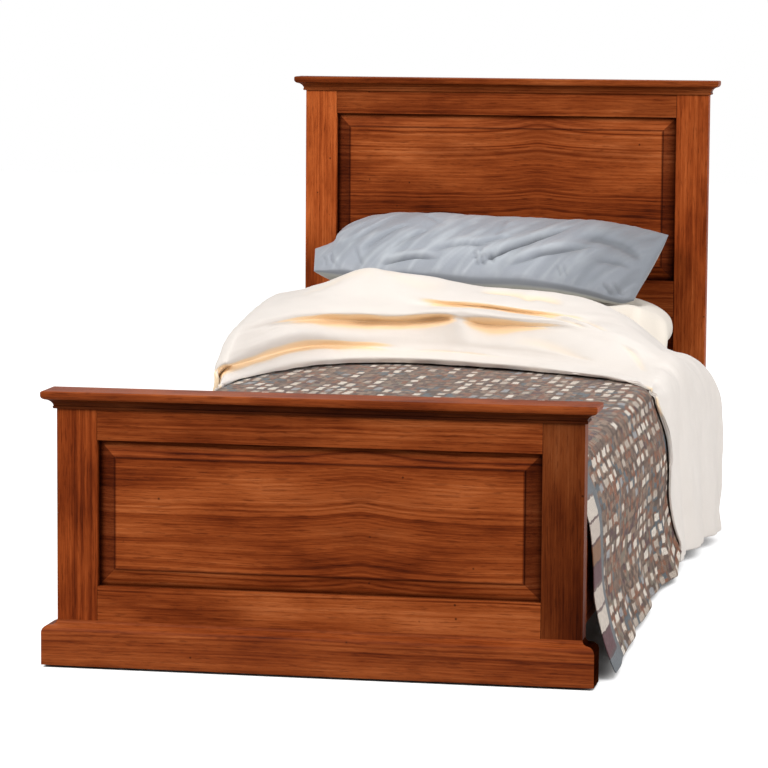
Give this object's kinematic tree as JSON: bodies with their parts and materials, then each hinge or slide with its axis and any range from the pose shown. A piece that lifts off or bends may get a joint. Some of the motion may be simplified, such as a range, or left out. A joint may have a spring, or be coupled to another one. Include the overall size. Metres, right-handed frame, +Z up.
{
  "type": "single bed",
  "caption": "Single bed in stained wood with a raised-panel headboard and footboard, moulded cornices, side rails, slats, mattress, woven throw, cream blanket and pillows.",
  "frame": {"origin": "on the floor under the middle of the bed", "axes": "+X to the right seen from the foot, +Y from the foot to the head, +Z up"},
  "size_m": [1.0192, 2.037, 0.932],
  "materials": {
    "frame_wood": "satin varnish on a warm reddish-brown stain",
    "slat_wood": "plain beech",
    "cap_plastic": "moulded",
    "fitting_steel": "zinc plated",
    "glide_felt": "pressed felt",
    "mattress_cloth": "woven ticking over foam",
    "throw_cloth": "woven blocks in brown, grey-blue, plum and off-white",
    "blanket_cloth": "soft cream cotton",
    "lower_pillow_cloth": "cream cotton",
    "upper_pillow_cloth": "blue-grey satin"
  },
  "bodies": {
    "bed_frame": {"felt_glides": "glide_felt", "footboard_bottom_rail": "frame_wood", "footboard_cap": "frame_wood", "footboard_crown_front": "frame_wood", "footboard_crown_left": "frame_wood", "footboard_crown_right": "frame_wood", "footboard_panel": "frame_wood", "footboard_post_left": "frame_wood", "footboard_post_right": "frame_wood", "footboard_top_rail": "frame_wood", "headboard_bottom_rail": "frame_wood", "headboard_cap": "frame_wood", "headboard_crown_front": "frame_wood", "headboard_crown_left": "frame_wood", "headboard_crown_right": "frame_wood", "headboard_lower_panel": "frame_wood", "headboard_middle_rail": "frame_wood", "headboard_panel": "frame_wood", "headboard_post_left": "frame_wood", "headboard_post_right": "frame_wood", "headboard_top_rail": "frame_wood", "hook_screws": "fitting_steel", "ledger_left": "frame_wood", "ledger_right": "frame_wood", "ledger_screws": "fitting_steel", "plinth_front": "frame_wood", "plinth_left": "frame_wood", "plinth_right": "frame_wood", "post_socket_plates": "fitting_steel", "rail_hook_plates": "fitting_steel", "side_rail_left": "frame_wood", "side_rail_right": "frame_wood", "slat_01": "slat_wood", "slat_02": "slat_wood", "slat_03": "slat_wood", "slat_04": "slat_wood", "slat_05": "slat_wood", "slat_06": "slat_wood", "slat_07": "slat_wood", "slat_08": "slat_wood", "slat_09": "slat_wood", "slat_10": "slat_wood", "slat_11": "slat_wood", "slat_12": "slat_wood", "slat_13": "slat_wood", "slat_caps_left": "cap_plastic", "slat_caps_right": "cap_plastic"},
    "bedding": {"mattress": "mattress_cloth", "throw": "throw_cloth", "blanket": "blanket_cloth", "lower_pillow": "lower_pillow_cloth"},
    "pillow": {"upper_pillow": "upper_pillow_cloth"}
  },
  "joints": [
    {"name": "mattress_lift", "type": "slide", "parent": "bed_frame", "child": "bedding", "axis": [0, 0, 1], "range_m": [0, 0.2]},
    {"name": "pillow_lift", "type": "slide", "parent": "bedding", "child": "pillow", "axis": [0, -0.5, 0.866], "range_m": [0, 0.35]}
  ]
}
